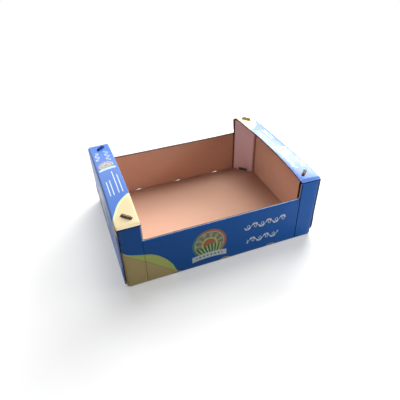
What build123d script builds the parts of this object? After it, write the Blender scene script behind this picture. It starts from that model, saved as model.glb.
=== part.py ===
from build123d import *
import os

# Cardboard tray box: one sheet of corrugated board, die-cut, creased, folded and glued.
# Low long sides, tall ends that fold over into shelves, and a hollow triangular post in
# each corner whose tab comes up through its shelf, to lock it and to locate the next tray.
# Origin at the middle of the footprint on the floor, X along the long sides, Z up.

# Footprint and heights
length = 400
width = 300
side_height = 105
shelf_height = 144
shelf_depth = 43.5

# How far each shelf arches up halfway along, at its free edge and at its fold
inner_rise = 11.5
outer_rise = 4

# Board, its folds and its creases
board = 4
fold_radius = 4.5
pressed_share = 0.85  # of the board, the radius of the tight folds under the ends
crease_width = 2.4
crease_depth = 0.9
crease_setback = 1.6

# Opening between the posts of a long side
step_radius = 2

# Corner posts: the gap between a slanting panel's free edge and the long side
post_gap = 0.5

# Stacking tabs, and the slots that they pass through, which are longer than the tabs
tab_length = 19
tab_height = 6.5
tab_radius = 2.5
tab_clearance = 1.2
slot_slack = 2

# Drain holes on the lower folds of the long sides
drain_width = 17
drain_height = 5.5
drain_depth = 5
drain_pitch = 102
drain_count = 3

# Lower corners of the ends, trimmed back from the long sides
trim_depth = 11
trim_height = 19

# Every cut runs past its faces by this much
overrun = 5

half_length = length / 2
half_width = width / 2
half_board = board / 2
fold_middle = fold_radius - half_board
inner_length = length - 2 * board
step_place = half_length - shelf_depth
seat_height = shelf_height - board
post_height = shelf_height - board / 4
tab_top = shelf_height + tab_height

# Middle of the slanting panel's board: its foot by the long side, and its fold by the end
return_line = half_length - board - half_board
foot_along = step_place
foot_across = half_width - board - post_gap - half_board / 2 ** 0.5
fold_across = foot_across - (return_line - foot_along)
tab_along = (foot_along + return_line) / 2
tab_across = (foot_across + fold_across) / 2

corners = [(-1, -1), (1, -1), (1, 1), (-1, 1)]


def corner_plane(side_x, side_y, height):
    """A plane through the middle of one slanting panel: local x along it, local y up."""
    along = Vector(side_x, -side_y, 0)
    return Plane(
        origin=(side_x * tab_along, side_y * tab_across, height),
        x_dir=along,
        z_dir=along.cross(Vector(0, 0, 1)),
    )


with BuildPart() as tray:
    # Bottom and long sides: one bent strip, inside the rounded plan of the corner folds
    with BuildSketch():
        RectangleRounded(inner_length, width, fold_radius)
    extrude(amount=post_height)
    with BuildSketch(Plane.YZ):
        with BuildLine():
            FilletPolyline(
                (-half_width + half_board, post_height + overrun),
                (-half_width + half_board, half_board),
                (half_width - half_board, half_board),
                (half_width - half_board, post_height + overrun),
                radius=fold_middle,
            )
        trace(line_width=board)
    extrude(amount=half_length, both=True, mode=Mode.INTERSECT)

    # The long sides drop to their low edge between the posts
    with BuildSketch(Plane.XZ) as opening:
        with Locations((0, side_height)):
            Rectangle(2 * step_place, shelf_height, align=(Align.CENTER, Align.MIN))
        fillet(opening.vertices().group_by(Axis.Z)[0], step_radius)
    extrude(amount=half_width + overrun, both=True, mode=Mode.SUBTRACT)

    # Corner posts: a panel glued inside the end, then a fold, then the slanting panel
    with BuildSketch(Plane.XY.offset(half_board)) as posts:
        with BuildLine():
            FilletPolyline(
                (return_line, half_width - fold_radius),
                (return_line, fold_across),
                (foot_along, foot_across),
                radius=fold_middle,
            )
        trace(line_width=board)
        mirror(about=Plane.XZ)
        mirror(about=Plane.YZ)
    extrude(amount=post_height - half_board)

    # Ends: the outer layer of board, trimmed back at its lower corners
    with BuildSketch(Plane.YZ.offset(half_length - board)):
        with BuildLine():
            Polyline(
                (-half_width, post_height),
                (-half_width, trim_height),
                (-half_width + trim_depth, 0),
                (half_width - trim_depth, 0),
                (half_width, trim_height),
                (half_width, post_height),
            )
            ThreePointArc(
                (-half_width, post_height),
                (0, post_height + outer_rise),
                (half_width, post_height),
            )
        make_face()
    end = extrude(amount=board)
    mirror(end, about=Plane.YZ)

    # Shelves: arched sheets, from their free edge to the fold at the top of the end
    for place, rise in ((step_place, inner_rise), (half_length, outer_rise)):
        with BuildSketch(Plane.YZ.offset(place)):
            with BuildLine():
                under = ThreePointArc(
                    (-half_width, seat_height),
                    (0, seat_height + rise),
                    (half_width, seat_height),
                )
                top = ThreePointArc(
                    (-half_width, shelf_height),
                    (0, shelf_height + rise),
                    (half_width, shelf_height),
                )
                Line(under @ 0, top @ 0)
                Line(under @ 1, top @ 1)
            make_face()
    shelf = loft(ruled=True)
    mirror(shelf, about=Plane.YZ)

    # Folds across the tray, along the top and bottom of each end
    for side in (0, -1):
        fold_edges = tray.faces().sort_by(Axis.X)[side].edges()
        fillet(fold_edges.sort_by(Axis.Z)[-1], fold_radius)
        fillet(fold_edges.sort_by(Axis.Z)[0], pressed_share * board)

    # Slots in the shelves, and the openings below that take the tabs of the tray beneath
    for side_x, side_y in corners:
        slot_spin = -45 * side_x * side_y
        for low, high in (
            (seat_height, tab_top + inner_rise),
            (-overrun, board + tab_height + tab_clearance),
        ):
            with BuildSketch(Plane.XY.offset(low)):
                with Locations((side_x * tab_along, side_y * tab_across)):
                    Rectangle(
                        tab_length + 2 * slot_slack,
                        board + 2 * tab_clearance,
                        rotation=slot_spin,
                    )
            extrude(amount=high - low, mode=Mode.SUBTRACT)

    # Tabs on the slanting panels, standing up through the slots
    for side_x, side_y in corners:
        with BuildSketch(corner_plane(side_x, side_y, seat_height)) as tab:
            with Locations((0, tab_height / 2)):
                Rectangle(tab_length, 2 * board + tab_height)
            fillet(tab.vertices().group_by(Axis.Z)[-1], tab_radius)
        extrude(amount=half_board, both=True)

    # Upright creases on the long sides, below each step
    with BuildSketch():
        for side_x, side_y in corners:
            place = side_x * (step_place + crease_setback)
            face = side_y * half_width
            with BuildLine():
                Polyline(
                    (place - crease_width / 2, face),
                    (place, face - side_y * crease_depth),
                    (place + crease_width / 2, face),
                    close=True,
                )
            make_face()
    extrude(amount=side_height, mode=Mode.SUBTRACT)

    # Drain holes across the lower folds of the long sides
    for side in (-1, 1):
        with BuildSketch(Plane.XZ.offset(side * half_width - drain_depth)):
            with GridLocations(drain_pitch, 0, drain_count, 1):
                Ellipse(drain_width / 2, drain_height)
        extrude(amount=2 * drain_depth, mode=Mode.SUBTRACT)

tray.part.label = "tray"

os.makedirs("parts", exist_ok=True)
export_step(tray.part, "parts/tray.step")
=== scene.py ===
import cmath
import math

import bmesh
import bpy
from mathutils import Matrix, Vector, noise


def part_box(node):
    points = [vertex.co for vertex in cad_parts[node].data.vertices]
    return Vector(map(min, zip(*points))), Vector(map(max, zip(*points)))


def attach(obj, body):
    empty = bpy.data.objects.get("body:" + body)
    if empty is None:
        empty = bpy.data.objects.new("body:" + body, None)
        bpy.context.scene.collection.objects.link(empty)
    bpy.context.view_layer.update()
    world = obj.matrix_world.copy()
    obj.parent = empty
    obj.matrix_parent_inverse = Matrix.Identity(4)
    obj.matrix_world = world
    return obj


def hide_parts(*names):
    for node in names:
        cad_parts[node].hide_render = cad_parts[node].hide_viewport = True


# The tray is made the way the real one is: a flat blank is punched out of a sheet of
# corrugated board that lies printed side down, and then folded up. Metres throughout.

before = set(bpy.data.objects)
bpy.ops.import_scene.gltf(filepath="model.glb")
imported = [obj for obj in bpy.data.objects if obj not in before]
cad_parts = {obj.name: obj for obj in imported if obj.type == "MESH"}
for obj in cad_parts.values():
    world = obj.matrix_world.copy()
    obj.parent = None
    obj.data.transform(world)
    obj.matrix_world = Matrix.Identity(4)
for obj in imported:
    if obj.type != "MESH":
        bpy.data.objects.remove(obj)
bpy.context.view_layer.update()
low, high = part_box("tray")

MM = 0.001

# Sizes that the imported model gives
LENGTH = high[0] - low[0]
WIDTH = high[1] - low[1]

# Heights and depths of the folded tray
SIDE_HEIGHT = 105 * MM
SHELF_HEIGHT = 144 * MM
SHELF_DEPTH = 43.5 * MM
INNER_RISE = high[2] - SHELF_HEIGHT
OUTER_RISE = 4 * MM

# Board: two liners and the fluting between them
BOARD = 4 * MM
LINER = 0.4 * MM
FLUTE_PITCH = 7.8 * MM
FLUTE_REACH = 7 * MM
FLUTE_SETBACK = 0.25 * MM
FLUTE_STEPS = 8
FLUTE_ROWS = 3
FOLD_RADIUS = 4.5 * MM
FOLD_STEPS = 6
SHARP_ANGLE = math.radians(35)
PANEL_STEP = 13 * MM

# How near counts as touching, when the sheet is cut and when its quarters are joined
CUT_SLACK = 1e-7
JOIN_SLACK = 1e-6

# Fine cuts of the sheet, in from an edge that is pressed or rolled
EDGE_STEPS = (1.2 * MM, 2.6 * MM, 4.2 * MM, 6 * MM, 9 * MM, 14 * MM)

# Die-cut edges are pressed thin: how much, and how far in from the edge
END_PRESS = 1.2 * MM
END_PRESS_REACH = 14 * MM
END_ROLL_SHARE = 0.9
SHELF_PRESS = 1.3 * MM
SHELF_PRESS_REACH = 8 * MM
ROLL = 2.4 * MM
ROLL_REACH = 3 * MM
TAB_PRESS_SHARE = 0.15
BACK_ROLL_SHARE = 0.2

# Slow bends of a used tray, which fade out towards the floor: how far they go, how close
# together they are, and where in the noise each axis is read
BOW = 1.1 * MM
BOW_LIFT_SHARE = 0.5
BOW_FADE = 30 * MM
BOW_FINENESS = 6
BOW_SHIFTS = (Vector((3.1, 0.7, 5.3)), Vector((8.4, 2.9, 1.6)), Vector((5.7, 9.2, 4.8)))

# The ends flare out above their trimmed lower corners
FLARE = 1.5 * MM
FLARE_HEIGHT = 32 * MM
FLARE_SPREAD = 22 * MM
FLARE_REACH = 30 * MM
FLARE_DEPTH = 1.2 * BOARD

# The back left corner droops down and out, and the shelf by the back right step is lifted
DROOP_OUT = 1.2 * MM
DROOP_DOWN = 1.8 * MM
DROOP_REACH = 55 * MM
LIFT = 3.4 * MM
LIFT_REACH = 75 * MM

# How far the step at the back right has sprung out past its slanting panel
STEP_SPRING = 4.2 * MM
STEP_SPRING_REACH = 12 * MM

# Upright creases on the long sides
CREASE_SETBACK = 1.6 * MM
CREASE_WIDTH = 2.4 * MM
CREASE_DEPTH = 1 * MM

# Corner posts, their tabs, and the slots that the tabs pass through
POST_GAP = 0.5 * MM
TAB_LENGTH = 19 * MM
TAB_HEIGHT = 6.5 * MM
TAB_RADIUS = 2.5 * MM
TAB_CLEARANCE = 1.2 * MM
SLOT_SLACK = 2 * MM
STEP_RADIUS = 2 * MM
TAB_STEPS = (0.8 * MM, 1.8 * MM, TAB_RADIUS, TAB_HEIGHT)

# How far the middle of a rounded corner lies in from its two sides, as a share of its radius
ROUND_SHARE = 0.3

# Drain holes and trimmed lower corners
DRAIN_WIDTH = 17 * MM
DRAIN_HEIGHT = 5.5 * MM
DRAIN_PITCH = 102 * MM
TRIM_DEPTH = 11 * MM
TRIM_HEIGHT = 19 * MM

HALF_LENGTH = LENGTH / 2
HALF_WIDTH = WIDTH / 2
SEAT_HEIGHT = SHELF_HEIGHT - BOARD
RETURN_FACE = HALF_LENGTH - BOARD
STEP_PLACE = HALF_LENGTH - SHELF_DEPTH
STEP_SPRING_DROP = SEAT_HEIGHT - SIDE_HEIGHT + 2 * STEP_SPRING_REACH

# The slanting panel's heading and middle line, as seen from above in the back right corner
SLANT = cmath.exp(-0.25j * math.pi)
FOOT = complex(STEP_PLACE, HALF_WIDTH - BOARD - POST_GAP - BOARD / 8 ** 0.5)
HEEL_X = RETURN_FACE - BOARD / 2
HEEL = complex(HEEL_X, FOOT.imag - (HEEL_X - FOOT.real))
TAB_MIDDLE = (FOOT + HEEL) / 2

# Runs of board, measured on the printed face: lengths of flat board, and turns of folds
QUARTER_TURN = math.pi / 2
POST_TURN = 0.75 * math.pi
FOLD_LENGTH = FOLD_RADIUS * QUARTER_TURN
POST_FOLD_LENGTH = FOLD_RADIUS * POST_TURN
HEEL_TANGENT = (FOLD_RADIUS - BOARD / 2) * math.tan(POST_TURN / 2)
RETURN_LENGTH = HALF_WIDTH - FOLD_RADIUS - HEEL.imag - HEEL_TANGENT
SLANT_LENGTH = abs(HEEL - FOOT) - HEEL_TANGENT

SIDE_RUN = [
    (HALF_WIDTH - FOLD_RADIUS, 0),
    (FOLD_LENGTH, QUARTER_TURN),
    (SHELF_HEIGHT, 0),
]
END_RUN = [
    (HALF_LENGTH - FOLD_RADIUS, 0),
    (FOLD_LENGTH, QUARTER_TURN),
    (SHELF_HEIGHT - 2 * FOLD_RADIUS, 0),
    (FOLD_LENGTH, QUARTER_TURN),
    (SHELF_DEPTH - FOLD_RADIUS, 0),
]
POST_RUN = [
    (RETURN_FACE - FOLD_RADIUS, 0),
    (FOLD_LENGTH, QUARTER_TURN),
    (RETURN_LENGTH, 0),
    (POST_FOLD_LENGTH, POST_TURN),
    (SLANT_LENGTH, 0),
]


def run_ends(run):
    """Distances along a run at which its stretches end."""
    ends, total = [], 0
    for length, _ in run:
        total += length
        ends.append(total)
    return ends


END_STOPS = run_ends(END_RUN)
POST_STOPS = run_ends(POST_RUN)
SIDE_STOPS = run_ends(SIDE_RUN)

# Places on the flat blank, from its middle: "along" the tray's length, and "across" it
WALL_ZERO = SIDE_STOPS[1] - FOLD_RADIUS      # height 0 of a long side
END_ZERO = END_STOPS[1] - FOLD_RADIUS        # height 0 of an end
SHELF_EDGE = END_STOPS[-1]
POST_EDGE = POST_STOPS[-1]
POST_FLAT = POST_STOPS[0]
POST_FOOT = SIDE_STOPS[1]
SIDE_EDGE = WALL_ZERO + SIDE_HEIGHT
SEAT_EDGE = WALL_ZERO + SEAT_HEIGHT
TAB_EDGE = WALL_ZERO + SHELF_HEIGHT + TAB_HEIGHT
END_SIDE = HALF_WIDTH + BOARD / 4            # past the side of an end, and short of its posts
DRAIN_FOOT = SIDE_STOPS[0] + FOLD_LENGTH / 2
TAB_PLACE = POST_EDGE - abs(TAB_MIDDLE - FOOT)
TAB_START = TAB_PLACE - TAB_LENGTH / 2
TAB_END = TAB_PLACE + TAB_LENGTH / 2


def along_run(run, distance, depth):
    """The point at a distance along a run's printed face and a depth into its board.

    The run starts at 0, heads along the real axis and folds to its left.
    """
    place, heading = 0j, 1 + 0j
    for number, (length, turn) in enumerate(run):
        part = min(distance, length) if number < len(run) - 1 else distance
        if turn:
            pivot = place + 1j * heading * FOLD_RADIUS
            spin = cmath.exp(1j * part / FOLD_RADIUS)
            point = pivot - 1j * heading * spin * (FOLD_RADIUS - depth)
            place = pivot - 1j * heading * spin * FOLD_RADIUS
            heading *= spin
        else:
            place += heading * part
            point = place + 1j * heading * depth
        distance -= part
        if distance <= 0:
            break
    return point


def arch(across):
    """How far a shelf has risen at this place across it, as a share of its full rise."""
    return 1 - (across / HALF_WIDTH) ** 2


def near_edge(distance, reach):
    """1 at a cut edge, falling smoothly to 0 at a reach from it."""
    share = min(max(1 - distance / reach, 0), 1)
    return share * share * (3 - 2 * share)


def rolled(depth, share):
    """The board's depth where its printed face rolls over towards a cut edge."""
    return depth + ROLL * share * (1 - depth / BOARD)


def pressed_end(along, across, depth):
    """The board's depth on an end and its shelf, pressed thin towards their cut edges."""
    turned = min(max((along - END_STOPS[2]) / FOLD_LENGTH, 0), 1)
    side = near_edge(HALF_WIDTH - across, END_PRESS_REACH) * END_PRESS * (1 - turned)
    depth -= side * depth / BOARD
    edge = near_edge(HALF_WIDTH - across, 2 * ROLL_REACH) * END_ROLL_SHARE * (1 - turned)
    depth = rolled(depth, edge)
    lid = near_edge(HALF_WIDTH - across, SHELF_PRESS_REACH) * SHELF_PRESS * turned
    lid = max(lid, near_edge(SHELF_EDGE - along, SHELF_PRESS_REACH / 2) * SHELF_PRESS / 2)
    return depth + lid * (1 - depth / BOARD)


def pressed_side(along, across, depth, share):
    """The board's depth on a long side, rolled over along its low edge and its steps."""
    if SIDE_STOPS[1] < across and along < STEP_PLACE:
        depth = rolled(depth, share * near_edge(SIDE_EDGE - across, ROLL_REACH))
    elif across > SIDE_EDGE:
        depth = rolled(depth, share * near_edge(along - STEP_PLACE, ROLL_REACH))
    return depth


def pressed_tab(across, depth):
    """The board's depth on a tab, pressed from both sides towards its top."""
    thin = TAB_PRESS_SHARE * near_edge(TAB_EDGE - across, TAB_HEIGHT)
    return depth + (BOARD / 2 - depth) * thin


def widened(x, y):
    """How far a post spreads into the room that the pressed edge of its end leaves."""
    share = min(max((x - STEP_PLACE) / (RETURN_FACE - STEP_PLACE), 0), 1)
    return END_PRESS * share * near_edge(HALF_WIDTH - BOARD - y, END_PRESS_REACH - BOARD)


def settled(place):
    """Small bends of a used tray, added to a point of the folded tray."""
    x, y, z = place
    bow = Vector([noise.noise(place * BOW_FINENESS + shift) for shift in BOW_SHIFTS]) * BOW
    bow.z *= BOW_LIFT_SHARE * min(z / SHELF_HEIGHT, 1)
    by_side = near_edge(HALF_WIDTH - abs(y), FLARE_REACH)
    by_end = near_edge(HALF_LENGTH - abs(x), FLARE_DEPTH)
    by_foot = max(1 - ((z - FLARE_HEIGHT) / FLARE_SPREAD) ** 2, 0)
    bow.x += math.copysign(FLARE * by_side * by_end * by_foot, x)
    height = max(z, 0) / SHELF_HEIGHT
    droop = near_edge(Vector((x + HALF_LENGTH, y - HALF_WIDTH)).length, DROOP_REACH) * height
    lift = near_edge(Vector((x - STEP_PLACE, y - HALF_WIDTH)).length, LIFT_REACH) * height ** 3
    bow.x -= DROOP_OUT * droop
    bow.z += LIFT * lift - DROOP_DOWN * droop
    return place + bow * max(min(z / BOW_FADE, 1), 0)


def fold_point(point):
    """Moves a point of the flat blank to its place on the folded tray."""
    along, across = abs(point.x), abs(point.y)
    depth = point.z
    if along > RETURN_FACE and across <= END_SIDE:
        spot = along_run(END_RUN, along, pressed_end(along, across, depth))
        x, y, z = spot.real, across, spot.imag
        if along < END_STOPS[2]:
            rise = OUTER_RISE * z / SHELF_HEIGHT
        else:
            share = (HALF_LENGTH - x) / SHELF_DEPTH
            rise = OUTER_RISE + (INNER_RISE - OUTER_RISE) * max(share, 0)
        z += rise * arch(across)
    elif along > POST_FLAT and across > HALF_WIDTH:
        spot = along_run(POST_RUN, along, pressed_tab(across, depth))
        x, y, z = spot.real, HALF_WIDTH - spot.imag, across - WALL_ZERO
        x += widened(x, y)
    else:
        if POST_FOOT < across < SIDE_EDGE:
            crease = abs(along - STEP_PLACE - CREASE_SETBACK) / (CREASE_WIDTH / 2)
            depth += CREASE_DEPTH * max(1 - crease, 0)
        share = 1 if point.y < 0 else BACK_ROLL_SHARE
        spot = along_run(SIDE_RUN, across, pressed_side(along, across, depth, share))
        x, y, z = along, spot.real, spot.imag
        if across > SIDE_STOPS[1]:
            x += widened(x, y)
        if point.x > 0 and point.y > 0:
            height = near_edge(SEAT_EDGE - across, STEP_SPRING_DROP)
            x -= STEP_SPRING * height * near_edge(abs(along - STEP_PLACE), STEP_SPRING_REACH)
    return settled(Vector((math.copysign(x, point.x), math.copysign(y, point.y), z)))


def stations(stops, folds, extra):
    """Places to cut the flat sheet at: every stop, steps between them, and fine steps on folds."""
    places = set(extra)
    start = 0
    for number, stop in enumerate(stops):
        steps = FOLD_STEPS if number in folds else max(1, round((stop - start) / PANEL_STEP))
        places.update(start + (stop - start) * k / steps for k in range(1, steps + 1))
        start = stop
    return sorted(places)


def cut(bm, faces, place, normal):
    """Cuts these faces of the flat sheet along a line, and keeps both sides."""
    edges = dict.fromkeys(edge for face in faces for edge in face.edges)
    corners = dict.fromkeys(vert for face in faces for vert in face.verts)
    bmesh.ops.bisect_plane(
        bm, geom=[*corners, *edges, *faces], plane_co=place, plane_no=normal, dist=CUT_SLACK
    )


def punch(bm, outline):
    """Punches a convex hole, given by its corners in order, out of the flat sheet."""
    corners = [Vector((*corner, 0)) for corner in outline]
    middle = sum(corners, Vector()) / len(corners)
    reach = max((corner - middle).length for corner in corners)
    sides = []
    for start, end in zip(corners, corners[1:] + corners[:1]):
        normal = (end - start).cross(Vector((0, 0, 1))).normalized()
        sides.append((start, normal if normal.dot(middle - start) < 0 else -normal))
    for start, normal in sides:
        near = [
            face
            for face in bm.faces
            if (face.calc_center_bounds() - middle).length < reach + 2 * PANEL_STEP
        ]
        cut(bm, near, start, normal)
    holed = [
        face
        for face in bm.faces
        if all((face.calc_center_median() - start).dot(normal) < 0 for start, normal in sides)
    ]
    bmesh.ops.delete(bm, geom=holed, context="FACES")


def rectangle(left, right, near, far):
    """Corners of an upright rectangle on the flat sheet."""
    return [(left, near), (right, near), (right, far), (left, far)]


def slanting(middle, heading, length, thickness):
    """Corners of a slot turned to a heading."""
    half = heading * length / 2
    side = heading * 1j * thickness / 2
    ring = (middle - half - side, middle + half - side, middle + half + side, middle - half + side)
    return [(corner.real, corner.imag) for corner in ring]


def oval(middle, half_width, half_height, corners=16):
    """Corners of an oval on the flat sheet."""
    turns = (2 * math.pi * k / corners for k in range(corners))
    return [
        (middle[0] + half_width * math.cos(turn), middle[1] + half_height * math.sin(turn))
        for turn in turns
    ]


def blank_sheet():
    """The flat blank of one quarter of the tray, as a single layer of faces."""
    bm = bmesh.new()
    corners = [
        bm.verts.new((along, across, 0))
        for along, across in rectangle(0, SHELF_EDGE, 0, TAB_EDGE)
    ]
    bm.faces.new(corners)
    crease = STEP_PLACE + CREASE_SETBACK
    lengthwise = stations(
        END_STOPS[:4] + [SHELF_EDGE],
        (1, 3),
        [
            *(STEP_PLACE, crease - CREASE_WIDTH / 2, crease, crease + CREASE_WIDTH / 2),
            *(SHELF_EDGE - step for step in (*EDGE_STEPS[:2], SHELF_PRESS_REACH / 2)),
            *POST_STOPS,
        ],
    )
    first_fold = stations(POST_STOPS[:4], (1, 3), [])
    crosswise = stations(
        [SIDE_STOPS[0], SIDE_STOPS[1], TAB_EDGE],
        (1,),
        [
            *(HALF_WIDTH - step for step in EDGE_STEPS),
            *(SIDE_EDGE - ROLL_REACH * share for share in (0, 1 / 3, 2 / 3, 1)),
            *(TAB_EDGE - step for step in TAB_STEPS),
            SEAT_EDGE,
        ],
    )
    for place in sorted({*lengthwise, *(p for p in first_fold if p > POST_FLAT)}):
        cut(bm, bm.faces[:], Vector((place, 0, 0)), Vector((1, 0, 0)))
    for place in crosswise:
        cut(bm, bm.faces[:], Vector((0, place, 0)), Vector((0, 1, 0)))

    past = SHELF_EDGE + BOARD
    top = TAB_EDGE + BOARD
    trim_start = HALF_WIDTH - TRIM_DEPTH
    trim_end = END_ZERO + TRIM_HEIGHT
    post_foot = POST_FOOT + BOARD / 8

    # Waste round the posts and ends, and the relief at the lower corner
    punch(bm, rectangle(POST_EDGE, past, post_foot, top))
    punch(bm, rectangle(POST_FLAT, past, HALF_WIDTH, post_foot))
    punch(bm, rectangle(POST_FLAT, RETURN_FACE, SIDE_STOPS[0], HALF_WIDTH))
    punch(bm, [
        (RETURN_FACE, trim_start), (HALF_LENGTH - LINER, trim_start),
        (trim_end, HALF_WIDTH), (RETURN_FACE, HALF_WIDTH),
    ])
    # Waste above the posts, beside the tabs, and the tabs' rounded corners
    punch(bm, rectangle(STEP_PLACE, TAB_START, SEAT_EDGE, top))
    punch(bm, rectangle(TAB_END, past, SEAT_EDGE, top))
    for corner, side in ((TAB_START, 1), (TAB_END, -1)):
        punch(bm, [
            (corner - side * BOARD, TAB_EDGE - TAB_RADIUS), (corner, TAB_EDGE - TAB_RADIUS),
            (corner + side * TAB_RADIUS * ROUND_SHARE, TAB_EDGE - TAB_RADIUS * ROUND_SHARE),
            (corner + side * TAB_RADIUS, TAB_EDGE), (corner + side * TAB_RADIUS, top),
            (corner - side * BOARD, top),
        ])
    # The low edge of the long side
    punch(bm, [
        (-BOARD, SIDE_EDGE), (STEP_PLACE - STEP_RADIUS, SIDE_EDGE),
        (STEP_PLACE - STEP_RADIUS * ROUND_SHARE, SIDE_EDGE + STEP_RADIUS * ROUND_SHARE),
        (STEP_PLACE, SIDE_EDGE + STEP_RADIUS), (STEP_PLACE, top), (-BOARD, top),
    ])
    # Slots for the tabs, in the shelf and in the bottom, and the notch over the lower one
    slot = (TAB_LENGTH + 2 * SLOT_SLACK, BOARD + 2 * TAB_CLEARANCE)
    shelf_middle = complex(
        END_STOPS[3] + HALF_LENGTH - FOLD_RADIUS - TAB_MIDDLE.real, TAB_MIDDLE.imag
    )
    punch(bm, slanting(shelf_middle, SLANT.conjugate(), *slot))
    punch(bm, slanting(TAB_MIDDLE, SLANT, *slot))
    notch = WALL_ZERO + BOARD + TAB_HEIGHT + TAB_CLEARANCE
    punch(bm, rectangle(TAB_START - SLOT_SLACK, TAB_END + SLOT_SLACK, HALF_WIDTH, notch))
    # Drain holes, from halfway round the lower fold up
    for place in (0, DRAIN_PITCH):
        ring = oval((place, DRAIN_FOOT), DRAIN_WIDTH / 2, WALL_ZERO + DRAIN_HEIGHT - DRAIN_FOOT)
        punch(bm, ring[:len(ring) // 2 + 1])
    return bm


def flute_strip(bm, start, end, edge, reach):
    """A wavy strip of fluting that ends just inside a cut edge of the flat sheet."""
    steps = max(FLUTE_STEPS // 2, round((end - start) / FLUTE_PITCH * FLUTE_STEPS))
    made = bmesh.ops.create_grid(bm, x_segments=steps, y_segments=FLUTE_ROWS, size=0.5)["verts"]
    middle = (BOARD - LINER) / 2
    swing = middle - LINER
    first = edge - math.copysign(FLUTE_SETBACK, reach)
    for vert in made:
        along = start + (vert.co.x + 0.5) * (end - start)
        across = first - (vert.co.y + 0.5) * reach
        wave = math.sin(2 * math.pi * along / FLUTE_PITCH)
        vert.co = Vector((along, across, middle + swing * wave))


def quarter_layers():
    """Both liners and the fluting at the cut edges, flat, for one quarter of the tray."""
    bm = blank_sheet()
    copy = bmesh.ops.duplicate(bm, geom=[*bm.verts, *bm.edges, *bm.faces])["geom"]
    lifted = [part for part in copy if isinstance(part, bmesh.types.BMVert)]
    bmesh.ops.translate(bm, verts=lifted, vec=(0, 0, BOARD - LINER))
    # Open ends of the flutes: low edge, post top, tab and its rounded top, and side of the end
    flute_strip(bm, 0, STEP_PLACE, SIDE_EDGE, FLUTE_REACH)
    flute_strip(bm, STEP_PLACE, TAB_START, SEAT_EDGE, FLUTE_REACH)
    flute_strip(bm, TAB_START, TAB_END, TAB_EDGE - TAB_RADIUS, FLUTE_REACH)
    flute_strip(bm, TAB_START + TAB_RADIUS, TAB_END - TAB_RADIUS, TAB_EDGE, TAB_RADIUS)
    flute_strip(bm, END_ZERO + TRIM_HEIGHT, SHELF_EDGE, HALF_WIDTH, FLUTE_REACH)
    # One flute seen from its side: the shelf's free edge, the step and the slanting panel
    shelf_side = HALF_WIDTH - FLUTE_REACH
    post_top = SEAT_EDGE - FLUTE_REACH
    for start, edge, reach in (
        (SHELF_EDGE - FLUTE_SETBACK - FLUTE_PITCH, shelf_side, shelf_side),
        (STEP_PLACE + FLUTE_SETBACK, post_top, post_top - SIDE_EDGE),
        (POST_EDGE - FLUTE_SETBACK - FLUTE_PITCH, post_top, post_top - POST_FOOT - FLUTE_REACH),
    ):
        flute_strip(bm, start, start + FLUTE_PITCH, edge, reach)
    return bm


# Material slots of the tray, and how far an upright face's normal may rise
PRINT, KRAFT, EDGE, FLUTING = range(4)
UPRIGHT = 0.3


def layer_slot(face):
    """Which finish a face of the flat, thickened layers gets."""
    middle = face.calc_center_median()
    if abs(face.normal.z) < UPRIGHT:
        # The liners' cut edges look like the fluting on the tabs, the ends and the back
        if abs(middle.y) > SEAT_EDGE or abs(middle.x) > RETURN_FACE or middle.y > POST_FOOT:
            return FLUTING
        if middle.z < LINER:
            return EDGE
        if middle.z > BOARD - LINER:
            return KRAFT
    if middle.z < LINER / 4:
        return PRINT
    if middle.z > BOARD - LINER / 4:
        return KRAFT
    return FLUTING


def make_tray():
    """The whole tray: the quarter mirrored, thickened, given its finishes and folded."""
    bm = quarter_layers()
    for axis in "XY":
        whole = [*bm.verts, *bm.edges, *bm.faces]
        bmesh.ops.mirror(bm, geom=whole, axis=axis, merge_dist=JOIN_SLACK)
    bmesh.ops.recalc_face_normals(bm, faces=bm.faces)
    grown = bmesh.ops.extrude_face_region(bm, geom=bm.faces[:])["geom"]
    raised = [part for part in grown if isinstance(part, bmesh.types.BMVert)]
    bmesh.ops.translate(bm, verts=raised, vec=(0, 0, LINER))
    # The new rims come in another order each run, so every face is put in order of its place
    ordered = sorted(bm.faces, key=lambda face: face.calc_center_median()[:])
    for number, face in enumerate(ordered):
        face.index = number
    bm.faces.sort()
    bmesh.ops.recalc_face_normals(bm, faces=bm.faces)
    flat_map = bm.loops.layers.uv.new("Blank")
    for face in bm.faces:
        face.material_index = layer_slot(face)
        for loop in face.loops:
            loop[flat_map].uv = loop.vert.co.xy
    for vert in bm.verts:
        vert.co = fold_point(vert.co)
    bmesh.ops.recalc_face_normals(bm, faces=bm.faces)
    mesh = bpy.data.meshes.new("folded_tray")
    bm.to_mesh(mesh)
    bm.free()
    mesh.shade_smooth()
    mesh.set_sharp_from_angle(angle=SHARP_ANGLE)
    tray = bpy.data.objects.new("folded_tray", mesh)
    bpy.context.collection.objects.link(tray)
    return tray


# How far the edge of a painted mark blurs, where nothing else is said
BLUR = 0.3 * MM


class Signal:
    """A value in a finish. Arithmetic on it adds the nodes that work it out."""

    def __init__(self, recipe, socket):
        self.recipe, self.socket = recipe, socket

    def __add__(self, other):
        return self.recipe.work("ADD", self, other)

    def __sub__(self, other):
        return self.recipe.work("SUBTRACT", self, other)

    def __rsub__(self, other):
        return self.recipe.work("SUBTRACT", other, self)

    def __mul__(self, other):
        return self.recipe.work("MULTIPLY", self, other)

    def __truediv__(self, other):
        return self.recipe.work("DIVIDE", self, other)

    def __mod__(self, other):
        return self.recipe.work("FLOORED_MODULO", self, other)

    def __abs__(self):
        return self.recipe.work("ABSOLUTE", self)

    __radd__ = __add__
    __rmul__ = __mul__


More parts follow.
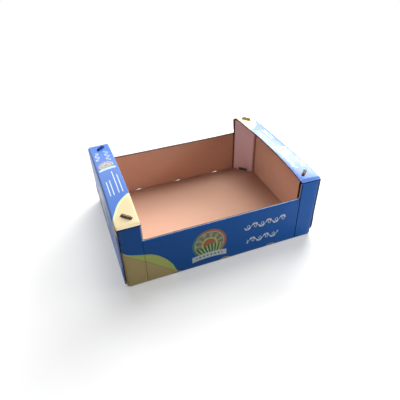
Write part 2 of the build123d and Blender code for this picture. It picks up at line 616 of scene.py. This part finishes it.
class Recipe:
    """The nodes of one finish, or of one effect that finishes share."""

    def __init__(self, tree):
        self.tree = tree

    def feed(self, socket, value):
        """Links a signal into a socket, or sets the socket to a plain value."""
        if isinstance(value, Signal):
            self.tree.links.new(value.socket, socket)
        elif socket.type == "RGBA":
            socket.default_value = (*value, 1)
        else:
            socket.default_value = value

    def node(self, kind, settings=None, **values):
        """Adds a node and returns it. Underscores in names stand for the spaces of sockets."""
        made = self.tree.nodes.new("ShaderNode" + kind)
        for name, value in (settings or {}).items():
            setattr(made, name, value)
        for name, value in values.items():
            self.feed(made.inputs[name.replace("_", " ")], value)
        return made

    def out(self, node, name):
        return Signal(self, node.outputs[name])

    def work(self, operation, *values):
        made = self.node("Math", {"operation": operation})
        for socket, value in zip(made.inputs, values):
            self.feed(socket, value)
        return self.out(made, "Value")

    def held(self, value):
        """The value, held between 0 and 1."""
        return self.out(self.node("Clamp", Value=value), "Result")

    def below(self, value, limit, blur=BLUR):
        """1 where the value is under the limit, 0 where it is over, blurred at the limit."""
        return self.held((limit - value) / blur + 0.5)

    def within(self, value, middle, half, blur=BLUR):
        """1 where the value is within half of the middle."""
        return self.below(abs(value - middle), half, blur)

    def between(self, value, start, stop, blur=BLUR):
        """1 where the value is past the start and short of the stop."""
        return self.within(value, (start + stop) / 2, (stop - start) / 2, blur)

    def least(self, *values):
        first, *rest = values
        for value in rest:
            first = self.work("MINIMUM", first, value)
        return first

    def most(self, *values):
        first, *rest = values
        for value in rest:
            first = self.work("MAXIMUM", first, value)
        return first

    def reach(self, x, y):
        """Distance of a place from the origin."""
        return self.work("SQRT", x * x + y * y)

    def curve(self, value, points):
        """A drawn curve through the given points, each from 0 to 1."""
        made = self.node("FloatCurve", Value=value)
        drawn = made.mapping.curves[0]
        while len(drawn.points) < len(points):
            drawn.points.new(0.5, 0.5)
        for point, place in zip(drawn.points, points):
            point.location = place
        made.mapping.update()
        return self.out(made, "Value")

    def noise(self, place, scale, detail):
        made = self.node("TexNoise", Vector=place, Scale=scale, Detail=detail)
        return self.out(made, "Fac")

    def place(self, x, y, z=0):
        made = self.node("CombineXYZ", X=x, Y=y, Z=z)
        return self.out(made, "Vector")

    def blend(self, share, first, second):
        """The first colour, turning to the second as the share goes from 0 to 1."""
        made = self.node("Mix", {"data_type": "RGBA"})
        colours = [socket for socket in made.inputs if socket.type == "RGBA"]
        self.feed(made.inputs["Factor"], share)
        self.feed(colours[0], first)
        self.feed(colours[1], second)
        shades = [socket for socket in made.outputs if socket.type == "RGBA"]
        return Signal(self, shades[0])

    def use(self, effect, **values):
        """Places a shared effect, and returns its outputs by name."""
        made = self.node("Group", {"node_tree": effect}, **values)
        return {socket.name: Signal(self, socket) for socket in made.outputs}


def effect(name, inputs, outputs, write):
    """A shared effect: a node group with named inputs and outputs."""
    tree = bpy.data.node_groups.new(name, "ShaderNodeTree")
    for title, start in inputs.items():
        socket = tree.interface.new_socket(title, in_out="INPUT", socket_type="NodeSocketFloat")
        socket.default_value = start
    for title, kind in outputs.items():
        tree.interface.new_socket(title, in_out="OUTPUT", socket_type="NodeSocket" + kind)
    recipe = Recipe(tree)
    source = tree.nodes.new("NodeGroupInput")
    given = {title: recipe.out(source, title) for title in inputs}
    results = write(recipe, **{title.lower(): signal for title, signal in given.items()})
    sink = tree.nodes.new("NodeGroupOutput")
    for title, result in results.items():
        recipe.feed(sink.inputs[title], result)
    return tree


# Inks and papers
BLUE_INK = (0.004, 0.125, 0.5)
RUBBED_BLUE_INK = (0.025, 0.13, 0.47)
TAN_INK = (0.78, 0.61, 0.28)
LIME_INK = (0.7, 0.82, 0.24)
# Darker, duller copies of the tan and lime, used on the shelves and on the wrap round the ends; on
# the shelves they are painted shade against the stronger light there
SHADED_TAN_INK = (0.67, 0.55, 0.32)
SHADED_LIME_INK = (0.62, 0.67, 0.38)
GREEN_INK = (0.02, 0.11, 0.1)
TEAL_INK = (0.07, 0.3, 0.26)
RUST_INK = (0.58, 0.2, 0.1)
CREAM_INK = (0.62, 0.62, 0.34)
BRIGHT_INK = (0.84, 0.9, 0.93)
# Bare white liner, tinted pink: the tint is painted bounce light from red fruit
WHITE_PAPER_PINK_BOUNCE = (0.88, 0.71, 0.83)
WHITE_EDGE = (0.84, 0.78, 0.8)
BROWN_KRAFT = (0.7, 0.45, 0.35)
# Darker kraft, for random tone and for painted shade on the bottom
SHADED_KRAFT = (0.52, 0.315, 0.225)
DARK_KRAFT = (0.2, 0.105, 0.065)
# Near-black kraft, for the darkest fluting and for painted shade on the liner
DEEP_KRAFT = (0.06, 0.03, 0.025)
# Painted light on the tops of the front tabs
LIT_TAB_TOP_KRAFT = (0.62, 0.5, 0.42)
# Painted shade on the cut edges at the front corners
CORNER_EDGE_SHADE = (0.01, 0.03, 0.09)
RAGGED_PAPER = (0.5, 0.4, 0.36)
# Painted shade for the creases and the fold over to the shelf
CREASE_SHADE_INK = (0.0, 0.008, 0.04)
BLACK = (0.0, 0.0, 0.0)

# Grain of the board's face, to the metre: fibres along and across the tray, specks and clouds
FIBRES_ALONG = 900
FIBRES_ACROSS = 260
SPECKS = 500
CLOUDS = 26


def write_board(recipe, along, across):
    """Corrugated board's face: fine fibres, cloudy paper, and the fluting showing through."""
    fibre = recipe.noise(recipe.place(along * FIBRES_ALONG, across * FIBRES_ACROSS), 1, 3)
    speck = recipe.noise(recipe.place(along * SPECKS, across * SPECKS, 7), 1, 1)
    cloud = recipe.noise(recipe.place(along, across, 3), CLOUDS, 3)
    ridge = recipe.work("SINE", along * (2 * math.pi / FLUTE_PITCH))
    tone = (fibre - 0.5) * 0.5 + (cloud - 0.5) * 0.35 + ridge * 0.02
    flecks = recipe.held((speck - 0.68) * 9)
    return {"Tone": tone, "Flecks": flecks, "Height": ridge * 0.06 + (fibre - 0.5) * 0.22}


board_face = effect(
    "board face",
    {"Along": 0.0, "Across": 0.0},
    {"Tone": "Float", "Flecks": "Float", "Height": "Float"},
    write_board,
)

# Wear that widens and narrows with the paper's crumples, which are so many to the metre:
# cracks in the folds, whose whitening is partly a painted highlight along them, and bare paper
# at the cut edges, which the rolled edges add to
CRUMPLES = 130
CRACK_GROWTH = 3 * MM
CRACK_HOLD = 1.2 * MM
CRACK_BLUR = 0.7 * MM
BARE_GROWTH = 1.1 * MM
ROLLED_BARE = 0.4 * MM

# How much less bare paper the free edges of the shelves and the front corners show
SHELF_HOLD = 0.5 * MM
FRONT_HOLD = 0.3 * MM

# Painted shade lines: in the fold over to the shelf, and in creases that are fainter at the left
CREASE_SHADE_BLUR = 2 * MM
LID_SHADE_HALF = 1.4 * MM
LEFT_CREASE_FADE = 0.65


def write_wear(recipe, along, across):
    """Where the board is folded or cut: its surface cracks and rubs, with painted shade in the
    creases and a painted highlight along the folds.
    """
    u, v = abs(along), abs(across)
    front = recipe.below(across, 0)
    crumple = recipe.noise(recipe.place(along, across, 1), CRUMPLES, 4)

    # Cracked ink on the folds, its whitening partly a painted highlight along them, and rubbing
    # beside them
    near = recipe.least(
        abs(v - (SIDE_STOPS[0] + FOLD_LENGTH / 2)),
        abs(u - (END_STOPS[0] + FOLD_LENGTH / 2)),
        abs(u - (END_STOPS[2] + FOLD_LENGTH / 2)),
        abs(u - (POST_STOPS[0] + FOLD_LENGTH / 2)),
    )
    cracks_and_highlight = recipe.below(near, crumple * CRACK_GROWTH - CRACK_HOLD, CRACK_BLUR)
    cracks_and_highlight = cracks_and_highlight * recipe.below(u, END_STOPS[1])
    rubbed = recipe.below(near, FOLD_RADIUS, FOLD_RADIUS) * crumple

    # Bare paper on the front's rolled edges, and on the cut edges of the ends and shelves
    growth = crumple * BARE_GROWTH
    low_edge = abs(v - SIDE_EDGE) + recipe.below(STEP_PLACE, u) * BOARD
    step_edge = abs(u - STEP_PLACE) + recipe.below(v, SIDE_EDGE) * BOARD
    rolled_edge = recipe.least(low_edge, step_edge)
    rolled_bare = recipe.below(rolled_edge, growth + ROLLED_BARE, ROLLED_BARE) * front
    off_end = 1 - recipe.between(u, RETURN_FACE, END_STOPS[2])
    end_edge = abs(v - HALF_WIDTH) + off_end * BOARD + front * FRONT_HOLD
    cut_edge = recipe.least(abs(u - SHELF_EDGE) + SHELF_HOLD, end_edge)
    bare = recipe.most(recipe.below(cut_edge, growth), rolled_bare)

    # Painted shade in the upright creases, and in the fold over to the shelf
    crease_shade = recipe.within(u, STEP_PLACE + CREASE_SETBACK, CREASE_WIDTH / 2, CREASE_SHADE_BLUR)
    crease_shade = crease_shade * recipe.between(v, WALL_ZERO, SIDE_EDGE)
    crease_shade = crease_shade * (1 - recipe.below(along, 0) * LEFT_CREASE_FADE)
    lid_fold_shade = recipe.within(u, END_STOPS[2] + FOLD_LENGTH * 0.4, LID_SHADE_HALF, CREASE_SHADE_BLUR)
    lid_fold_shade = lid_fold_shade * recipe.below(v, END_SIDE)

    # Torn paper round the drain holes, down to the lower fold
    from_drain = (along + DRAIN_PITCH / 2) % DRAIN_PITCH - DRAIN_PITCH / 2
    rim = recipe.reach(from_drain / (DRAIN_WIDTH / 2), (v - WALL_ZERO) / DRAIN_HEIGHT)
    torn = recipe.below(rim, 1.2 + crumple * 0.35, 0.12)
    torn = torn * recipe.below(u, DRAIN_PITCH * 1.4)
    torn = torn * recipe.below(SIDE_STOPS[0] + FOLD_LENGTH / 3, v)
    return {
        "Cracks And Fold Highlight": cracks_and_highlight,
        "Rubbed": rubbed,
        "Bare Edge": bare,
        "Crease Shade": recipe.most(crease_shade * 0.7, lid_fold_shade),
        "Torn": torn,
    }


wear_marks = effect(
    "fold and edge wear",
    {"Along": 0.0, "Across": 0.0},
    dict.fromkeys(("Cracks And Fold Highlight", "Rubbed", "Bare Edge", "Crease Shade", "Torn"), "Float"),
    write_wear,
)


def write_badge(recipe, x, y):
    """A round farm badge, 2 units across: a low sun with rays over furrowed fields."""
    blur = 0.03
    from_middle = recipe.reach(x, y)
    from_sun = recipe.reach(x, y + 0.02)
    grain = recipe.noise(recipe.place(x * 7, y * 7), 1, 3)

    # Sky with rays, and the sun in its glow
    rays = recipe.work("SINE", recipe.work("ARCTAN2", y + 0.1, x) * 12)
    colour = recipe.blend(recipe.held(rays * 2 + 0.5), CREAM_INK, RUST_INK)
    colour = recipe.blend(recipe.held(grain * 3 - 1.1), colour, TEAL_INK)
    colour = recipe.blend(recipe.below(from_sun, 0.36, blur), colour, RUST_INK)
    colour = recipe.blend(recipe.within(from_sun, 0.42, 0.045, blur), colour, LIME_INK)

    # Fields below a rolling skyline
    skyline = y - recipe.work("SINE", x * 4 + 1) * 0.1 + 0.14
    furrow = recipe.work("SINE", recipe.work("ARCTAN2", x - 0.2, y + 1.6) * 44)
    field = recipe.blend(recipe.held(furrow * 2 + 0.5), GREEN_INK, LIME_INK)
    field = recipe.blend(recipe.held(grain * 3 - 1.2) * 0.7, field, TEAL_INK)
    colour = recipe.blend(recipe.below(skyline, 0, blur), colour, field)

    # Border and rim
    border = recipe.blend(recipe.held(x * 0.9 + y * 0.5 + grain), TEAL_INK, RUST_INK)
    colour = recipe.blend(recipe.below(from_middle, 0.82, blur), border, colour)
    colour = recipe.blend(recipe.within(from_middle, 0.84, 0.03, 0.02), colour, CREAM_INK)

    # Bent ribbon across the foot, with a row of dots
    bent = y + x * x * 0.1
    ribbon = recipe.within(x, 0, 1.02, blur) * recipe.within(bent, -0.84, 0.2, blur)
    dots = recipe.below(recipe.reach(x % 0.22 - 0.11, bent + 0.84), 0.06, blur)
    dots = dots * recipe.within(x, 0, 0.77, 0.01)
    colour = recipe.blend(ribbon, colour, BRIGHT_INK)
    colour = recipe.blend(dots, colour, TEAL_INK)
    return {"Colour": colour, "Mask": recipe.most(recipe.below(from_middle, 1, blur), ribbon)}


farm_badge = effect(
    "farm badge", {"X": 0.0, "Y": 0.0}, {"Colour": "Color", "Mask": "Float"}, write_badge
)


def write_vine(recipe, x, y, length):
    """A pale tendril along x, in millimetres: a wavy stem, with a curl and leaves in each bend."""
    bend = 15.2
    blur = 0.5
    turn = x * (math.pi / bend)
    wave = recipe.work("SINE", turn)
    slope = recipe.work("COSINE", turn) * 0.95
    steep = recipe.work("SQRT", slope * slope + 1)
    stem = recipe.below(abs(y - wave * 5) / steep, 0.75, blur)

    # Places in each bend: along it from its middle, and up from the stem's line on its open side
    slot = x % bend - bend / 2
    rise = y * recipe.work("SIGN", wave)
    curl = recipe.within(recipe.reach(slot, rise + 0.3), 4.4, 0.65, blur)
    curl = curl * recipe.below(-1.5, slot + rise * 0.5, blur)
    bud = recipe.within(recipe.reach(slot - 0.6, rise + 1.2), 2, 0.6, blur)
    bud = bud * recipe.below(slot, 1, blur)
    leaves = []
    for lean in (-1, 1):
        from_leaf = recipe.reach(slot * 0.45 + lean * 1.6, rise - 8.2 - slot * (lean * 0.7))
        leaves.append(recipe.below(from_leaf, 1.35, blur))
    mask = recipe.most(stem, curl, bud, *leaves)
    return {"Mask": mask * recipe.below(abs(x), length / 2, blur)}


tendril = effect(
    "tendril", {"X": 0.0, "Y": 0.0, "Length": 80.0}, {"Mask": "Float"}, write_vine
)


# Sweep of colour in the corner of each panel: how far along and up a side it reaches, where it
# stops there, and how far it reaches across a shelf and round an end
SWEEP_LENGTH = 120 * MM
SWEEP_HEIGHT = 100 * MM
SWEEP_STOP = -92 * MM
SHELF_SWEEP = 96 * MM
END_SWEEP = 100 * MM

# Its upper and lower lines, drawn through the listed points. The first number of each pair goes
# along the side, in from the shelf's edge or up the end, and the second is a share of the reach.
SIDE_OVER = [
    (0, 0.97), (0.12, 0.83), (0.3, 0.745), (0.47, 0.68),
    (0.62, 0.54), (0.76, 0.32), (0.9, 0), (1, 0),
]
SIDE_UNDER = [
    (0, 0.9), (0.12, 0.77), (0.25, 0.65), (0.4, 0.51),
    (0.6, 0.31), (0.74, 0.16), (0.87, 0), (1, 0),
]
SHELF_OVER = [(0, 0.87), (0.3, 0.79), (0.6, 0.64), (0.83, 0.42), (1, 0.24)]
SHELF_UNDER = [(0, 0.79), (0.3, 0.71), (0.57, 0.56), (0.8, 0.34), (1, 0.16)]
END_OVER = [(0, 0), (0.84, 0), (0.9, 0.04), (0.95, 0.13), (1, 0.24)]
END_UNDER = [(0, 0), (0.88, 0), (0.93, 0.03), (0.97, 0.08), (1, 0.16)]

# Marks on a shelf are smaller and fainter: how much finer its tendrils are, and how much of the
# ink of its badge, tendrils and rules shows, the rules being so wide either side of their middle;
# the fainter badge is painted sheen, the gloss washing the print out
SHELF_FINER = 1.7
BADGE_SHOWN_UNDER_SHEEN = 0.65
TENDRIL_SHOWN = 0.55
RULE_SHOWN = 0.7
RULE_HALF = 0.8 * MM

# How far ink runs on out of sight: under the bottom, and past the corner behind the ends
UNDER_INK = 12 * MM
BEHIND_INK = 10 * MM
INK_BLUR = 1 * MM


def write_artwork(recipe, along, across):
    """The print: blue all over, tan and lime at two corners, badges, tendrils and rules.

    It is laid out for the front and the left end, and turned half round for the others.
    """
    u, v = abs(along), abs(across)
    front = recipe.below(across, 0)
    left = recipe.below(along, 0)

    # Places on a side, from its middle and up, and on an end, from its middle, up, and in
    # from the shelf's free edge
    p = along * (front * 2 - 1)
    h = v - WALL_ZERO
    q = across * (left * 2 - 1)
    up = u - END_ZERO
    r = SHELF_EDGE - u
    on_end = recipe.below(v, END_SIDE) * recipe.below(RETURN_FACE, u)
    on_shelf = recipe.below(r, SHELF_DEPTH + BOARD / 4) * on_end
    on_wall = on_end * (1 - on_shelf)
    on_side = recipe.below(WALL_ZERO, v) * (1 - on_end)

    # The sweep, on the side, on the shelf, and wrapped a little way round the end
    swept = recipe.held((p + HALF_LENGTH) / SWEEP_LENGTH)
    side_over = recipe.curve(swept, SIDE_OVER) * SWEEP_HEIGHT
    side_under = recipe.curve(swept, SIDE_UNDER) * SWEEP_HEIGHT
    corner = recipe.below(p, SWEEP_STOP) * on_side
    from_corner = q + HALF_WIDTH
    depth = recipe.held(r / SHELF_DEPTH)
    shelf_over = recipe.curve(depth, SHELF_OVER) * SHELF_SWEEP
    shelf_under = recipe.curve(depth, SHELF_UNDER) * SHELF_SWEEP
    climb = recipe.held(up / SHELF_HEIGHT)
    end_over = recipe.curve(climb, END_OVER) * END_SWEEP
    end_under = recipe.curve(climb, END_UNDER) * END_SWEEP
    shaded_lime = recipe.most(
        recipe.below(from_corner, shelf_over) * on_shelf,
        recipe.below(from_corner, end_over) * on_wall,
    )
    shaded_tan = recipe.most(
        recipe.below(from_corner, shelf_under) * on_shelf,
        recipe.below(from_corner, end_under) * on_wall,
    )
    colour = recipe.blend(on_shelf, BLUE_INK, RUBBED_BLUE_INK)
    colour = recipe.blend(recipe.below(h, side_over) * corner, colour, LIME_INK)
    colour = recipe.blend(recipe.below(h, side_under) * corner, colour, TAN_INK)
    # Sweep on the shelf and round the end in the darker copies of the inks, painted shade on the
    # shelf
    colour = recipe.blend(shaded_lime, colour, SHADED_LIME_INK)
    colour = recipe.blend(shaded_tan, colour, SHADED_TAN_INK)
    lines = recipe.most(
        recipe.within(h, side_under, 0.5 * MM, 0.8 * MM) * corner,
        recipe.within(from_corner, shelf_under, 0.3 * MM) * on_shelf * 0.4,
    )
    colour = recipe.blend(lines * 0.6, colour, GREEN_INK)
    tan_tab = recipe.below(SEAT_EDGE, v) * recipe.below(p, -POST_STOPS[2])
    colour = recipe.blend(tan_tab, colour, TAN_INK)

    for x, y, size, mask in (
        (p + 33 * MM, h - 55 * MM, 35 * MM, on_side),
        (r - 21 * MM, q - 44 * MM, 16 * MM, on_shelf * BADGE_SHOWN_UNDER_SHEEN),
        (q - 20 * MM, up - 78 * MM, 34 * MM, on_wall),
    ):
        badge = recipe.use(farm_badge, X=x / size, Y=y / size)
        colour = recipe.blend(badge["Mask"] * mask, colour, badge["Colour"])

    marks = []
    for x, y, length, finer, mask in (
        (p - 85 * MM, h - 69 * MM, 91.0, 1, on_side),
        (p - 82 * MM, h - 32 * MM, 70.0, 1, on_side),
        (q - 88 * MM, r - 32 * MM, 65.0, SHELF_FINER, on_shelf * TENDRIL_SHOWN),
        (q - 85 * MM, r - 12 * MM, 80.0, SHELF_FINER, on_shelf * TENDRIL_SHOWN),
    ):
        vine = recipe.use(tendril, X=x * (finer / MM), Y=y * (finer / MM), Length=length)
        marks.append(vine["Mask"] * mask)
    for deep, start, stop in ((32, -60, -14), (25.5, -60, -11), (16, -58, 16), (9, -58, 0)):
        rule = recipe.within(r, deep * MM, RULE_HALF) * recipe.between(q, start * MM, stop * MM)
        marks.append(rule * on_shelf * RULE_SHOWN)
    colour = recipe.blend(recipe.most(*marks), colour, BRIGHT_INK)

    # Ink stops on the parts that are glued or out of sight
    inked = recipe.most(
        on_end,
        on_side * recipe.below(u, POST_STOPS[1] + BEHIND_INK, INK_BLUR),
        recipe.below(SEAT_EDGE, v),
        recipe.below(SIDE_STOPS[0] - UNDER_INK, v, INK_BLUR) * recipe.below(u, RETURN_FACE),
    )
    return {"Ink": colour, "Inked": inked}


artwork = effect(
    "artwork", {"Along": 0.0, "Across": 0.0}, {"Ink": "Color", "Inked": "Float"}, write_artwork
)


BUMP_STRENGTH = 0.6
BUMP_DEPTH = 0.25 * MM


def finish(name, write, **plain):
    """A material: its recipe gives what changes over the surface, and the rest is plain."""
    material = bpy.data.materials.new(name)
    material.use_nodes = True
    tree = material.node_tree
    recipe = Recipe(tree)
    shader = tree.nodes["Principled BSDF"]
    flat = recipe.out(recipe.node("UVMap", {"uv_map": "Blank"}), "UV")
    split = recipe.node("SeparateXYZ", Vector=flat)
    height, colours = write(recipe, recipe.out(split, "X"), recipe.out(split, "Y"))
    bump = recipe.node("Bump", Height=height, Strength=BUMP_STRENGTH, Distance=BUMP_DEPTH)
    recipe.feed(shader.inputs["Normal"], recipe.out(bump, "Normal"))
    for title, value in colours.items():
        recipe.feed(shader.inputs[title], value)
    for title, value in plain.items():
        shader.inputs[title.replace("_", " ")].default_value = value
    return material


def write_print(recipe, along, across):
    """Varnished ink on white-faced board, cracked at the folds, rubbed at the edges, with painted
    shade in the creases and a painted highlight along the folds.
    """
    art = recipe.use(artwork, Along=along, Across=across)
    face = recipe.use(board_face, Along=along, Across=across)
    wear = recipe.use(wear_marks, Along=along, Across=across)
    # Bare liner where there is no ink, tinted with painted pink bounce light
    paper = recipe.blend(face["Flecks"] * 0.5, WHITE_PAPER_PINK_BOUNCE, BROWN_KRAFT)
    colour = recipe.blend(art["Inked"], paper, art["Ink"])
    shade = recipe.held(face["Tone"] * 0.35 + 0.5)
    colour = recipe.blend(shade * 0.24, colour, BLACK)
    # Painted shade in the creases and in the fold over to the shelf
    colour = recipe.blend(wear["Crease Shade"] * 0.65, colour, CREASE_SHADE_INK)
    # Whitening from cracks, bare edges and rubbing, partly a painted highlight along the folds
    wear_and_highlight = recipe.most(wear["Cracks And Fold Highlight"] * 0.25, wear["Bare Edge"] * 0.85, wear["Rubbed"] * 0.06)
    colour = recipe.blend(wear_and_highlight, colour, WHITE_EDGE)
    colour = recipe.blend(wear["Torn"], colour, BROWN_KRAFT)
    scuffs = recipe.noise(recipe.place(along * 30, across * 9, 5), 6, 4)
    roughness = 0.3 + recipe.held(scuffs - 0.42) * 0.5 + wear_and_highlight * 0.3
    height = face["Height"] * 0.6 - wear["Cracks And Fold Highlight"] * 0.5
    return height, {"Base Color": colour, "Roughness": roughness}


def write_kraft(recipe, along, across):
    """Plain brown liner: painted shade on the bottom, rubbed at the folds, and painted shade in
    places.
    """
    u, v = abs(along), abs(across)
    face = recipe.use(board_face, Along=along, Across=across)
    wear = recipe.use(wear_marks, Along=along, Across=across)
    on_bottom = recipe.below(u, RETURN_FACE, FOLD_RADIUS)
    on_bottom = on_bottom * recipe.below(v, HALF_WIDTH, FOLD_RADIUS)
    # Random tone, and painted shade on the bottom
    shade = recipe.held(face["Tone"] * 0.9 + 0.5 + on_bottom * 0.6)
    colour = recipe.blend(shade, BROWN_KRAFT, SHADED_KRAFT)
    colour = recipe.blend(face["Flecks"] * 0.5, colour, DARK_KRAFT)
    colour = recipe.blend(wear["Rubbed"] * 0.35, colour, DARK_KRAFT)

    # Painted shade by the slanting panels, along the low edges and on the tabs' faces
    by_foot = recipe.within(u, STEP_PLACE - 0.5 * MM, 3.2 * MM, 2.5 * MM)
    by_foot = by_foot * recipe.below(SIDE_STOPS[0], v)
    by_heel = recipe.within(v, HEEL.imag, 2 * MM, 3 * MM)
    by_heel = by_heel * recipe.between(u, END_STOPS[1], END_STOPS[2])
    by_edge = recipe.within(v, SIDE_EDGE, 1.3 * MM, 1 * MM) * recipe.below(u, STEP_PLACE)
    on_tab = recipe.below(SEAT_EDGE, v) * recipe.below(u, POST_EDGE)
    painted_shade = recipe.most(by_foot * 0.85, by_heel * 0.6, by_edge * 0.7, on_tab * 0.6)
    colour = recipe.blend(painted_shade, colour, DEEP_KRAFT)
    return face["Height"], {"Base Color": colour}


def write_cut(recipe, along, across):
    """Cut paper, a little ragged."""
    rag = recipe.noise(recipe.place(along * 700, across * 700, 2), 1, 3)
    colour = recipe.blend(recipe.held(rag * 2 - 0.6), WHITE_EDGE, RAGGED_PAPER)
    return rag, {"Base Color": colour}


def write_fluting(recipe, along, across):
    """Dark recycled fluting: painted light makes it lighter on the front tabs' tops, and painted
    near-black shade darkens it at the front corners.
    """
    u, v = abs(along), abs(across)
    front = recipe.below(across, 0)
    fibre = recipe.noise(recipe.place(along * 300, across * 900, 4), 1, 3)
    dark = recipe.blend(recipe.held(fibre * 2 - 0.5), DARK_KRAFT, DEEP_KRAFT)
    # Painted light for the front tabs' tops
    light = recipe.blend(recipe.held(fibre * 2 - 0.8), LIT_TAB_TOP_KRAFT, DARK_KRAFT)
    colour = recipe.blend(recipe.below(SEAT_EDGE, v) * front, dark, light)
    # Painted shade on the cut edges at the front corners
    shaded_corner = recipe.below(RETURN_FACE, u) * front
    shaded_corner = shaded_corner * recipe.between(v, HALF_WIDTH - FLUTE_REACH, END_SIDE)
    colour = recipe.blend(shaded_corner, colour, CORNER_EDGE_SHADE)
    return fibre, {"Base Color": colour}


tray = make_tray()
for made in (
    finish(
        "blue print", write_print, Specular_IOR_Level=0.15, Coat_Weight=0.08, Coat_Roughness=0.15
    ),
    finish("brown liner", write_kraft, Roughness=0.85, Specular_IOR_Level=0.25),
    finish("cut edge", write_cut, Roughness=0.9, Specular_IOR_Level=0.2),
    finish("fluting paper", write_fluting, Roughness=0.9, Specular_IOR_Level=0.15),
):
    tray.data.materials.append(made)
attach(tray, "root")
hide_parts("tray")

# Camera at the photograph's viewing angle
CAMERA_PLACE = (-234.3 * MM, -647.1 * MM, 566.1 * MM)
CAMERA_AZIMUTH = math.radians(-20.32)
CAMERA_HEIGHT = math.radians(37.24)
CAMERA_ROLL = math.radians(-1.39)
FOCAL_SHARE = 389.9 / 400

camera = bpy.data.objects.new("camera", bpy.data.cameras.new("camera"))
bpy.context.collection.objects.link(camera)
camera.data.sensor_width = 36
camera.data.lens = FOCAL_SHARE * camera.data.sensor_width
camera.matrix_world = (
    Matrix.Translation(CAMERA_PLACE)
    @ Matrix.Rotation(CAMERA_AZIMUTH, 4, "Z")
    @ Matrix.Rotation(QUARTER_TURN - CAMERA_HEIGHT, 4, "X")
    @ Matrix.Rotation(CAMERA_ROLL, 4, "Z")
)
bpy.context.scene.camera = camera


def softbox(name, azimuth, height, distance, width, tall, power):
    """A soft lamp aimed at the tray: two angles in degrees, three lengths in metres, and watts."""
    lamp = bpy.data.objects.new(name, bpy.data.lights.new(name, "AREA"))
    bpy.context.collection.objects.link(lamp)
    lamp.data.shape = "RECTANGLE"
    lamp.data.size = width
    lamp.data.size_y = tall
    lamp.data.energy = power
    flat = distance * math.cos(math.radians(height))
    away = Vector((
        flat * math.cos(math.radians(azimuth)),
        flat * math.sin(math.radians(azimuth)),
        distance * math.sin(math.radians(height)),
    ))
    lamp.location = away + Vector((0, 0, SIDE_HEIGHT))
    lamp.rotation_euler = away.to_track_quat("Z", "Y").to_euler()


softbox("overhead", 60, 66, 2.8, 1.6, 1.6, 70)
softbox("back window", 46, 30, 3, 1.7, 1.4, 140)
softbox("back panel", 90, 34, 3, 2.4, 1.3, 46)
softbox("side fill", -30, 14, 0.85, 0.5, 0.5, 4.3)
softbox("left fill", 165, 25, 2.5, 1.2, 1, 10)


def outlook(recipe):
    """1 for what the camera sees, straight or in a gloss, and 0 for light on the object."""
    path = recipe.node("LightPath")
    return recipe.most(
        recipe.out(path, "Is Camera Ray"),
        recipe.out(path, "Is Glossy Ray"),
        recipe.out(path, "Is Transmission Ray"),
    )


# Light that the room itself gives the object
ROOM_LIGHT = 0.1

# Floor: half its width, its drop below the tray, its grey as seen and as light bounces off it,
# how far out it shows the tray's shadow, where it is all white backdrop, and its glow before
FLOOR_HALF = 3
FLOOR_DROP = 0.3 * MM
FLOOR_GREY = (0.74, 0.74, 0.74)
BOUNCE_GREY = (0.2, 0.2, 0.2)
SHADOW_REACH = 0.45
BACKDROP_REACH = 1.1
NEAR_GLOW = 0.35

world = bpy.data.worlds.new("studio")
bpy.context.scene.world = world
world.use_nodes = True
room = Recipe(world.node_tree)
backdrop = world.node_tree.nodes["Background"]
backdrop.inputs["Color"].default_value = (1, 1, 1, 1)
room.feed(backdrop.inputs["Strength"], outlook(room) * (1 - ROOM_LIGHT) + ROOM_LIGHT)

floor_mesh = bmesh.new()
made = bmesh.ops.create_grid(floor_mesh, x_segments=1, y_segments=1, size=FLOOR_HALF)["verts"]
bmesh.ops.translate(floor_mesh, verts=made, vec=(0, 0, -FLOOR_DROP))
floor_data = bpy.data.meshes.new("floor")
floor_mesh.to_mesh(floor_data)
floor_mesh.free()
floor = bpy.data.objects.new("floor", floor_data)
bpy.context.collection.objects.link(floor)
paint = bpy.data.materials.new("studio floor")
paint.use_nodes = True
ground = Recipe(paint.node_tree)
floor_shader = paint.node_tree.nodes["Principled BSDF"]
floor_shader.inputs["Roughness"].default_value = 0.9
floor_shader.inputs["Specular IOR Level"].default_value = 0
floor_shader.inputs["Emission Color"].default_value = (1, 1, 1, 1)
spot = ground.node("SeparateXYZ", Vector=ground.out(ground.node("TexCoord"), "Object"))
away = ground.reach(ground.out(spot, "X"), ground.out(spot, "Y"))
far = ground.held((away - SHADOW_REACH) / (BACKDROP_REACH - SHADOW_REACH))
seen = outlook(ground)
lit = ground.blend(seen, BOUNCE_GREY, FLOOR_GREY)
glow = (far * (1 - NEAR_GLOW) + NEAR_GLOW) * seen
ground.feed(floor_shader.inputs["Base Color"], ground.blend(glow, lit, BLACK))
ground.feed(floor_shader.inputs["Emission Strength"], glow)
floor_data.materials.append(paint)

bpy.context.scene.view_settings.view_transform = "Standard"
